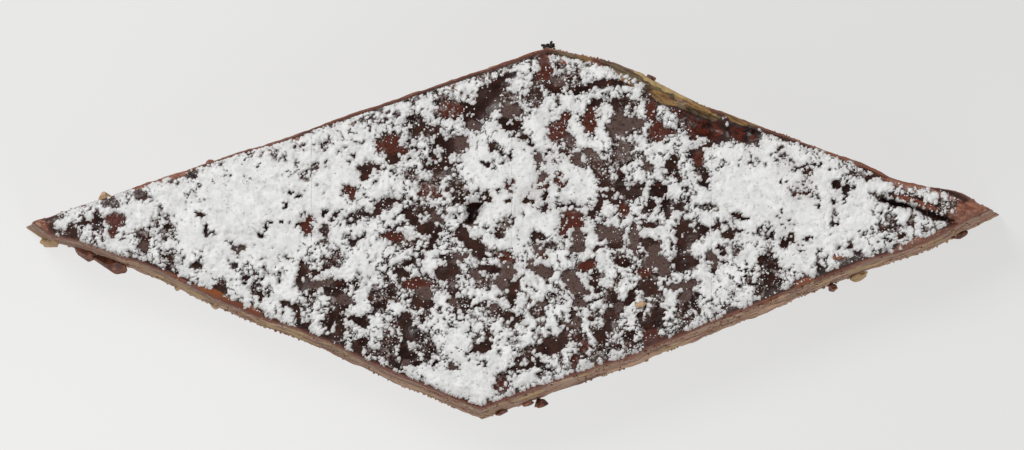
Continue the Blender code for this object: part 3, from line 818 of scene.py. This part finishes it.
def grainPlaces(fields, kind):
    xs, ys, slabHeight, thickness, cover, near, bare = fields
    rng = np.random.default_rng(kind["seed"])
    x = rng.uniform(xs[0], xs[-1], 160000)
    y = rng.uniform(ys[0], ys[-1], 160000)
    i = np.rint((x - xs[0]) / sugar["cell"]).astype(int)
    j = np.rint((y - ys[0]) / sugar["cell"]).astype(int)
    t = thickness[i, j]
    glossy = np.maximum(bare["dark"], bare["greySheen"])[i, j]
    exposed = kind["onBare"] * (0.10 + 0.90 * near[i, j]) * (1 - 0.75 * glossy)
    chance = np.where(t > 0, kind["onCrust"], exposed)
    chance = np.maximum(chance, kind["onSpeckled"] * bare["speckled"][i, j] * (t <= 0))
    chance *= (rimGap(x, y) > 0.0) * (hollowDepth(x, y) < 0.2 + 0.8 * rng.random(len(x)) ** 6)
    kept = rng.random(len(x)) < chance
    print("room for grains", kept.sum())
    x, y, i, j, t = (a[kept][:kind["count"]] for a in (x, y, i, j, t))
    z = slabTop(x, y) + np.maximum(t, 0) + kind["size"] * (1 - 2 * kind["sunk"]) * 0.5
    return np.column_stack([x, y, z])


def scatterTree(name, material):
    tree = bpy.data.node_groups.new(name, "GeometryNodeTree")
    face = tree.interface
    face.new_socket("Geometry", in_out="INPUT", socket_type="NodeSocketGeometry")
    sockets = {
        "size": face.new_socket("Grain size", in_out="INPUT", socket_type="NodeSocketFloat").identifier,
        "spread": face.new_socket("Size spread", in_out="INPUT", socket_type="NodeSocketFloat").identifier,
        "seed": face.new_socket("Seed", in_out="INPUT", socket_type="NodeSocketInt").identifier,
    }
    face.new_socket("Geometry", in_out="OUTPUT", socket_type="NodeSocketGeometry")

    def add(kind, settings=None, **links):
        node = tree.nodes.new(kind)
        for key, value in (settings or {}).items():
            setattr(node, key, value)
        for key, value in links.items():
            socket = node.inputs[key.replace("_", " ")]
            if isinstance(value, bpy.types.NodeSocket):
                tree.links.new(value, socket)
            else:
                socket.default_value = value
        return node

    given = add("NodeGroupInput").outputs
    points = add("GeometryNodeMeshToPoints", Mesh=given["Geometry"])
    grain = add("GeometryNodeMeshIcoSphere", Radius=1.0, Subdivisions=1)
    smooth = add("GeometryNodeSetShadeSmooth", Geometry=grain.outputs["Mesh"])
    turn = add("FunctionNodeRandomValue", {"data_type": "FLOAT_VECTOR"}, Seed=given["Seed"])
    turn.inputs["Max"].default_value = (6.28, 6.28, 6.28)
    spread = add("FunctionNodeRandomValue", {"data_type": "FLOAT_VECTOR"}, Seed=given["Seed"])
    stretch = tree.nodes.new("ShaderNodeVectorMath")
    stretch.operation = "MULTIPLY_ADD"
    tree.links.new(spread.outputs["Value"], stretch.inputs[0])
    spread.inputs["Min"].default_value = (-1, -1, -1)
    reach = tree.nodes.new("ShaderNodeMath")
    reach.operation = "MULTIPLY"
    tree.links.new(given["Grain size"], reach.inputs[0])
    tree.links.new(given["Size spread"], reach.inputs[1])
    tree.links.new(reach.outputs[0], stretch.inputs[1])
    tree.links.new(given["Grain size"], stretch.inputs[2])
    spots, shape = points.outputs["Points"], smooth.outputs["Geometry"]
    placed = add("GeometryNodeInstanceOnPoints", Points=spots, Instance=shape)
    tree.links.new(turn.outputs["Value"], placed.inputs["Rotation"])
    tree.links.new(stretch.outputs["Vector"], placed.inputs["Scale"])
    real = add("GeometryNodeRealizeInstances", Geometry=placed.outputs["Instances"])
    painted = add("GeometryNodeSetMaterial", Geometry=real.outputs["Geometry"], Material=material)
    end = tree.nodes.new("NodeGroupOutput")
    tree.links.new(painted.outputs["Geometry"], end.inputs["Geometry"])
    return tree, sockets


wallGrit = {  # crumbs stuck to the cut walls, mostly low down
    "tan_wall_crumbs": {"count": 1300, "size": 0.115, "spread": 0.55, "seed": 21, "low": 2.2},
    "brown_wall_crumbs": {"count": 1300, "size": 0.115, "spread": 0.55, "seed": 22, "low": 1.4},
}


def wallPlaces(kind):
    rng = np.random.default_rng(kind["seed"])
    places = []
    for name in sides:
        t = rng.uniform(0.01, 0.99, kind["count"] // 4)
        t = t[layeredNoise(t * 50, 0 * t, 2.5, kind["seed"], 2) > -0.25]
        share = 0.02 + 0.86 * rng.random(len(t)) ** kind["low"]
        lean = np.interp(share, slab["wallHeights"], slab["wallLeans"])[:, None]
        flat = sidePoints(name, 1.0, t) * (1 - lean) + sidePoints(name, 0.0, t) * lean
        places.append(np.column_stack([flat, share * slab["thickness"]]))
    return np.vstack(places)


def scatterGrains(name, kind, places, material):
    seeds = bpy.data.meshes.new(name + "_places")
    seeds.from_pydata((places * metresPerMm).tolist(), [], [])
    host = bpy.data.objects.new(name + "_host", seeds)
    bpy.context.scene.collection.objects.link(host)
    tree, sockets = scatterTree(name, material)
    scatter = host.modifiers.new("scatter", "NODES")
    scatter.node_group = tree
    scatter[sockets["size"]] = kind["size"] * metresPerMm
    scatter[sockets["spread"]] = kind["spread"]
    scatter[sockets["seed"]] = kind["seed"]
    bpy.context.view_layer.update()
    made = host.evaluated_get(bpy.context.evaluated_depsgraph_get())
    mesh = bpy.data.meshes.new_from_object(made)
    mesh.name = name
    bpy.data.objects.remove(host)
    piece = bpy.data.objects.new(name, mesh)
    bpy.context.scene.collection.objects.link(piece)
    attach(piece, "root")
    print(name, len(mesh.polygons), "faces")
    return piece


# Crumbs and flakes on the cut edges: place, half sizes, turn and seed, in mm and degrees
crumbs = {
    "nut_crumbs": [
        ((-46.2, -1.44, 1.1), (1.10, 0.80, 0.9), -20, 41), ((-40.8, 3.11, 1.7), (0.75, 0.5, 0.6), 20, 44),
        ((-33.4, -5.94, 0.8), (0.5, 0.42, 0.5), -25, 46), ((-29.7, -7.69, 0.8), (0.65, 0.45, 0.6), -25, 47),
        ((7.1, 16.86, 2.1), (0.50, 0.4, 0.8), -20, 48), ((10.7, 15.96, 1.4), (0.45, 0.40, 0.6), -20, 49),
        ((34.7, -4.79, 0.8), (1.05, 0.45, 0.6), 22, 56), ((12.6, -8.25, 9.15), (0.68, 0.34, 0.28), 4, 71),
    ],
    "fruit_crumbs": [
        ((-42.8, -2.54, 1.0), (1.45, 0.70, 0.8), -24, 42), ((-40.3, -3.64, 1.0), (1.6, 0.70, 0.9), -22, 43),
        ((-30.2, 6.46, 1.2), (0.55, 0.45, 0.55), 20, 45), ((13.8, 14.96, 1.5), (0.55, 0.45, 0.6), -20, 50),
        ((-1.2, -18.44, 1.1), (0.7, 0.45, 0.6), 20, 52), ((1.5, -17.49, 0.9), (0.62, 0.5, 0.65), 10, 53),
        ((2.8, -17.54, 0.9), (0.68, 0.55, 0.7), 35, 54), ((32.0, -5.99, 0.9), (0.6, 0.45, 0.6), 20, 55),
        ((44.6, -0.74, 0.7), (1.0, 0.4, 0.5), 22, 57), ((32.15, -3.3, 9.05), (0.85, 0.7, 0.3), 0, 72),
    ],
    "burnt_scraps": [
        ((3.75, 18.15, 1.1), (0.80, 0.50, 0.7), 0, 41), ((23.7, 9.35, 7.7), (0.60, 0.42, 0.6), -25, 51),
    ],
}
crumbForm = {"roughness": 0.24, "fine": 0.10, "facets": 9, "levels": 4, "scrapSpikes": 0.95}


def makeLump(place, half, turn, seed, spikes):
    ball = bmesh.new()
    bmesh.ops.create_icosphere(ball, subdivisions=crumbForm["levels"], radius=1.0)
    points = np.array([vert.co[:] for vert in ball.verts])
    faces = [[vert.index for vert in face.verts] for face in ball.faces]
    ball.free()
    rng = np.random.default_rng(seed)
    bumps = np.zeros(len(points))
    for _ in range(26):
        way = rng.normal(size=3)
        way /= np.linalg.norm(way)
        width = rng.uniform(0.015, 0.08) if spikes else rng.uniform(0.03, 0.22)
        bumps += rng.uniform(-0.5 if spikes else -1, 1) * np.exp(-((1 - points @ way) / width) ** 2)
    fine = layeredNoise(points[:, 0] + 3 * points[:, 2], points[:, 1] - 2 * points[:, 2], 0.22, seed, 2)
    amount = spikes if spikes else crumbForm["roughness"]
    core = 0.42 if spikes else 1.0
    points = points * (core + amount * bumps + crumbForm["fine"] * fine)[:, None]
    for _ in range(0 if spikes else crumbForm["facets"]):  # broken faces
        way = rng.normal(size=3)
        way /= np.linalg.norm(way)
        points -= np.outer(np.maximum(points @ way - rng.uniform(0.55, 0.85), 0), way)
    points = np.clip(points, -1.35, 1.35) * np.array(half)
    angle = math.radians(turn)
    x = points[:, 0] * math.cos(angle) - points[:, 1] * math.sin(angle)
    y = points[:, 1] * math.cos(angle) + points[:, 0] * math.sin(angle)
    z = np.maximum(points[:, 2] + place[2], 0.0)
    return np.column_stack([x + place[0], y + place[1], z]), faces


def joinLumps(lumps, spikes=0):
    allPoints, allFaces, count = [], [], 0
    for place, half, turn, seed in lumps:
        points, faces = makeLump(place, half, turn, seed, spikes)
        allPoints.append(points)
        allFaces += [[index + count for index in face] for face in faces]
        count += len(points)
    return np.vstack(allPoints), allFaces


# Finishes. Colours are linear.
colours = {
    # the slab's own dark brown, made darker still so the gaps between sugar clumps look shaded: partly own
    # colour, partly painted shade
    "dark": (0.012, 0.0045, 0.0034),
    "darkBrown": (0.034, 0.016, 0.012),
    "red": (0.074, 0.019, 0.012),
    "deepRed": (0.095, 0.017, 0.009),
    # painted sheen: grey-brown that stands in for the light's reflection on bare glossy patches
    "greySheen": (0.078, 0.047, 0.040),
    "clay": (0.26, 0.115, 0.072),
    "clayDark": (0.135, 0.045, 0.028),
    "ridge": (0.145, 0.105, 0.058),
    "ridgeDark": (0.040, 0.022, 0.012),
    "gold": (0.27, 0.165, 0.062),
    "goldDark": (0.10, 0.045, 0.018),
    "wall": (0.32, 0.205, 0.142),
    "wallDark": (0.115, 0.055, 0.038),
    "rimRed": (0.140, 0.038, 0.019),
    "wallWarm": (0.24, 0.095, 0.052),
    # painted shade of the walls' crevices
    "creviceShade": (0.045, 0.020, 0.014),
    "nut": (0.39, 0.265, 0.115),
    "olive": (0.27, 0.195, 0.092),
    "tan": (0.41, 0.26, 0.165),
    "orange": (0.21, 0.064, 0.022),
    "seed": (0.42, 0.34, 0.25),
    "sugarThin": (0.30, 0.265, 0.25),
    "burnt": (0.006, 0.005, 0.0045),
    "burntBrown": (0.012, 0.009, 0.008),
    "ash": (0.035, 0.028, 0.024),
    "sugarShade": (0.57, 0.57, 0.564),
    "sugarWhite": (0.69, 0.69, 0.683),
}


def slabFinish():
    f = Finish("dark_slab_finish")
    wall, share = f.attribute("wall"), f.attribute("share")
    broad, middle, fine = f.noise(2.6), f.noise(0.8), f.noise(0.22)
    ragged = f.noise(0.7, 5.0, 0.7, shift=3.0)
    top = f.mix(f.mask(broad + fine * 0.5, 0.60, 0.90), colours["dark"], colours["darkBrown"])
    top = f.mix(f.mask(middle, 0.50, 0.72) * 0.5, top, colours["red"])
    flecks = f.mask(fine, 0.28, 0.52)
    top = f.mix(f.mask(f.attribute("redTop") + ragged, 0.85, 1.25) * flecks, top, colours["red"])
    # painted sheen on the bare sheen patches, which are also made rougher below
    top = f.mix(f.mask(f.attribute("greyTop") + ragged, 0.85, 1.30) * flecks, top, colours["greySheen"])
    smear = f.noise(1.0, 4.0, 0.6, (4.5, 4.5, 0.30))
    warm = f.noise(1.0, 3.0, 0.6, (2.4, 2.4, 0.9), 7.0)
    yellow = f.noise(1.0, 3.0, 0.6, (3.6, 3.6, 0.7), 19.0)
    side = f.mix(f.mask(smear, 0.40, 0.58), colours["wallDark"], colours["wall"])
    side = f.mix(f.mask(warm, 0.50, 0.64) * 0.75, side, colours["wallWarm"])
    side = f.mix(f.mask(yellow, 0.57, 0.66) * f.mask(fine, 0.30, 0.55), side, colours["olive"])
    side = f.mix(f.mask(share + (smear - 0.5) * 0.5, 0.70, 0.88), side, colours["rimRed"])
    side = f.mix(f.mask(fine, 0.60, 0.72) * 0.9, side, colours["tan"])
    # painted shade: dark horizontal streaks stand in for the shade in crevices of the walls
    creviceShadeSpots = f.noise(1.0, 3.0, 0.6, (1.1, 1.1, 0.28), 31.0)
    side = f.mix(f.mask(0.17 - share + (smear - 0.5) * 0.4, 0.0, 0.12) * 0.6, side, colours["tan"])
    side = f.mix(f.mask(creviceShadeSpots, 0.60, 0.70) * 0.8, side, colours["creviceShade"])
    colour = f.mix(wall, top, side)
    streaks = f.noise(1.0, 4.0, 0.65, (3.2, 0.38, 0.30), 0.0, -25.0)
    pairs = {
        "clay": ("clayDark", "clay", streaks),
        "ridge": ("ridgeDark", "ridge", streaks),
        "gold": ("goldDark", "gold", streaks),
        "deepRed": ("dark", "deepRed", middle),
        "nut": ("olive", "nut", middle),
        "tan": ("wall", "tan", middle),
        "red": ("rimRed", "orange", broad),
        "seed": ("tan", "seed", fine),
    }
    for kind, (low, high, pattern) in pairs.items():
        shade = f.mix(f.mask(pattern + fine * 0.3, 0.52, 0.78), colours[low], colours[high])
        colour = f.mix(f.mask(f.attribute(kind) + ragged * 0.6, 0.55, 0.95), colour, shade)
    haze = f.attribute("haze") * f.mask(f.noise(0.42, 5.0, 0.75), 0.50, 0.62) * 0.85
    colour = f.mix(haze, colour, colours["sugarThin"])
    rough = 0.30 + 0.30 * wall + 0.35 * haze + 0.18 * f.attribute("greyTop")
    relief = f.bump(smear * wall * 1.2 + broad * 0.9 + middle * 0.45 + fine * 0.16, 0.25, 0.7)
    sockets = {"Base Color": colour, "Roughness": rough, "Normal": relief, "Specular IOR Level": 0.20}
    return f.finished(sockets)


def sugarFinish(name, lumpy=True):
    f = Finish(name)
    broad, fine = f.noise(0.9, 3.0), f.noise(0.13, 2.0, 0.6)
    white = f.mix(f.mask(broad, 0.3, 0.7), colours["sugarShade"], colours["sugarWhite"])
    if lumpy:
        # grey-brown tint where the sugar is thin, and at the edges of clumps partly painted shade
        thin = f.attribute("thin") * 0.85 + f.attribute("edge") * 0.38
        white = f.mix(thin * f.mask(fine, 0.30, 0.62), white, colours["sugarThin"])
    relief = f.bump(fine, 0.07, 0.8)
    return f.finished({"Base Color": white, "Roughness": 0.95, "Normal": relief, "Specular IOR Level": 0.2})


def lumpFinish(name, first, second, third, size=0.5, rough=0.5):
    f = Finish(name)
    colour = f.mix(f.mask(f.noise(size), 0.40, 0.60), first, second)
    colour = f.mix(f.mask(f.noise(size * 0.45), 0.58, 0.72) * 0.7, colour, third)
    relief = f.bump(f.noise(size * 0.3, 4.0), 0.12, 0.7)
    return f.finished({"Base Color": colour, "Roughness": rough, "Normal": relief})


# Building the cookie
drawWallBits()
points, faces, fields = makeSlab()
x, y = points[:, 0], points[:, 1]
bareAtSlab = bareFields(x, y)
onTop = fields["share"] > 0.999
paintTop(x, y, fields, fields["share"] > 0.93)
fields["redTop"] = bareAtSlab["red"] * onTop
# where the painted sheen goes
fields["greyTop"] = bareAtSlab["greySheen"] * onTop
coverAtSlab, _, _ = sugarCover(x, y, bareAtSlab)
haze = coverAtSlab + 0.6 * bareAtSlab["speckled"] - 0.9 * bareAtSlab["dark"]
fields["haze"] = np.clip(haze, 0, 1) * onTop
print("slab shaped")
slabPiece = makePiece("cookie_slab", points, faces, slabFinish(), fields)
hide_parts("cookie")

crust = makeCrustFields()
sugarWhite = sugarFinish("icing_sugar_crust")
blocks = {  # from where to where along the cookie
    "sugar_left": (0.0, 0.29), "sugar_middle_left": (0.29, 0.5), "sugar_middle_right": (0.5, 0.71),
    "sugar_right": (0.71, 1.0),
}
for name, (first, last) in blocks.items():
    count = len(crust[0]) - 1
    blockPoints, blockFaces, blockFields, blockUv = crustBlock(crust, int(first * count), int(last * count))
    makePiece(name, blockPoints, blockFaces, sugarWhite, blockFields, blockUv)

looseWhite = sugarFinish("icing_sugar_grains", lumpy=False)
for name in grains:
    scatterGrains(name, grains[name], grainPlaces(crust, grains[name]), looseWhite)

nutFinish = lumpFinish("nut_crumb_finish", colours["nut"], colours["tan"], colours["olive"])
fruitFinish = lumpFinish("fruit_crumb_finish", colours["red"], colours["orange"], colours["tan"])
doughFinish = lumpFinish("dough_crumb_finish", colours["wallWarm"], colours["wall"], colours["wallDark"])
charred = (colours["burnt"], colours["burntBrown"], colours["ash"])
burntFinish = lumpFinish("burnt_scrap_finish", *charred, 0.3, 0.8)
lumpFinishes = {"nut_crumbs": nutFinish, "fruit_crumbs": fruitFinish, "burnt_scraps": burntFinish}
for name, finish in lumpFinishes.items():
    spikes = crumbForm["scrapSpikes"] if name == "burnt_scraps" else 0
    lumpPoints, lumpFaces = joinLumps(crumbs[name], spikes)
    makePiece(name, lumpPoints, lumpFaces, finish)
for name, finish in (("tan_wall_crumbs", nutFinish), ("brown_wall_crumbs", doughFinish)):
    scatterGrains(name, wallGrit[name], wallPlaces(wallGrit[name]), finish)
print("cookie built")


# Floor, light and camera
studio = {
    "floorSize": 9.0,
    "floorColour": (0.09, 0.09, 0.09),
    "floorGlow": 0.745,
    "glowColour": (1.0, 0.997, 0.990),
    "glowRight": 0.11,  # how much the floor's glow is dimmed at the right and at the back: a painted falloff of light
    "glowBack": 0.065,
    "fallX": (-0.05, 0.05),  # where it darkens, in metres
    "fallY": (-0.020, 0.022),
    "skyColour": (1.0, 0.995, 0.99),
    "skyStrength": 0.64,
    "capStrength": 0.08,  # straight up, where the camera keeps the light out
    "darkCap": (0.72, 0.93),  # sines of the elevations where the sky fades
    "lens": 650.0,
    "sensor": 36.0,
}
lamps = {  # place, size, power, colour
    "softboxBack": ((-0.60, 0.70, 1.05), 0.45, 15.5, (1.0, 0.995, 0.99)),
    "softboxFront": ((0.45, -0.95, 0.80), 0.8, 5.5, (1.0, 0.995, 0.99)),
}


def setStudio():
    scene = bpy.context.scene
    scene.view_settings.view_transform = "Standard"
    scene.view_settings.look = "None"
    world = bpy.data.worlds.new("soft_studio")
    scene.world = world
    world.use_nodes = True
    nodes, links = world.node_tree.nodes, world.node_tree.links
    sky = nodes["Background"]
    sky.inputs["Color"].default_value = (*studio["skyColour"], 1.0)
    way = nodes.new("ShaderNodeTexCoord")
    upward = nodes.new("ShaderNodeSeparateXYZ")
    fade = nodes.new("ShaderNodeMapRange")
    fade.interpolation_type = "SMOOTHSTEP"
    links.new(way.outputs["Generated"], upward.inputs["Vector"])
    links.new(upward.outputs["Z"], fade.inputs["Value"])
    fade.inputs["From Min"].default_value, fade.inputs["From Max"].default_value = studio["darkCap"]
    fade.inputs["To Min"].default_value = studio["skyStrength"]
    fade.inputs["To Max"].default_value = studio["capStrength"]
    links.new(fade.outputs["Result"], sky.inputs["Strength"])

    half = studio["floorSize"] / 2
    mesh = bpy.data.meshes.new("floor")
    ends = [(-half, -half, 0), (half, -half, 0), (half, half, 0), (-half, half, 0)]
    mesh.from_pydata(ends, [], [(0, 1, 2, 3)])
    # the floor glows like a light table, and its glow is dimmed towards the right and the back as a painted
    # falloff of light
    paper = Finish("pale_paper")
    across = paper.node("ShaderNodeSeparateXYZ", {}, {"Vector": paper.place}, out="X")
    away = paper.node("ShaderNodeSeparateXYZ", {}, {"Vector": paper.place}, out="Y")
    paintedFalloff = paper.mask(across, *studio["fallX"]) * studio["glowRight"]
    paintedFalloff = paintedFalloff + paper.mask(away, *studio["fallY"]) * studio["glowBack"]
    mesh.materials.append(paper.finished({
        "Base Color": (*studio["floorColour"], 1.0),
        "Roughness": 0.9,
        "Specular IOR Level": 0.1,
        "Emission Color": paper.mix(paintedFalloff, studio["glowColour"], (0.0, 0.0, 0.0)),
        "Emission Strength": studio["floorGlow"],
    }))
    floor = bpy.data.objects.new("floor", mesh)
    scene.collection.objects.link(floor)

    for name, (place, size, power, colour) in lamps.items():
        light = bpy.data.lights.new(name, "AREA")
        light.shape = "SQUARE"
        light.size = size
        light.energy = power
        light.color = colour
        lamp = bpy.data.objects.new(name, light)
        lamp.location = place
        lamp.rotation_euler = (-Vector(place)).to_track_quat("-Z", "Y").to_euler()
        scene.collection.objects.link(lamp)


def setCamera():
    width, height = photo["size"]
    reach = studio["lens"] * (width / photo["pixelsPerMm"]) / studio["sensor"] * metresPerMm
    tilt = math.radians(photo["elevation"])
    camera = bpy.data.cameras.new("camera")
    camera.lens = studio["lens"]
    camera.sensor_width = studio["sensor"]
    camera.clip_end = 50.0
    camera.shift_x = (width / 2 - photo["middle"][0]) / width
    camera.shift_y = (photo["middle"][1] - height / 2) / width
    holder = bpy.data.objects.new("camera", camera)
    holder.location = (0, -reach * math.cos(tilt), reach * math.sin(tilt))
    holder.rotation_euler = (math.pi / 2 - tilt, 0, 0)
    bpy.context.scene.collection.objects.link(holder)
    bpy.context.scene.camera = holder


setStudio()
setCamera()
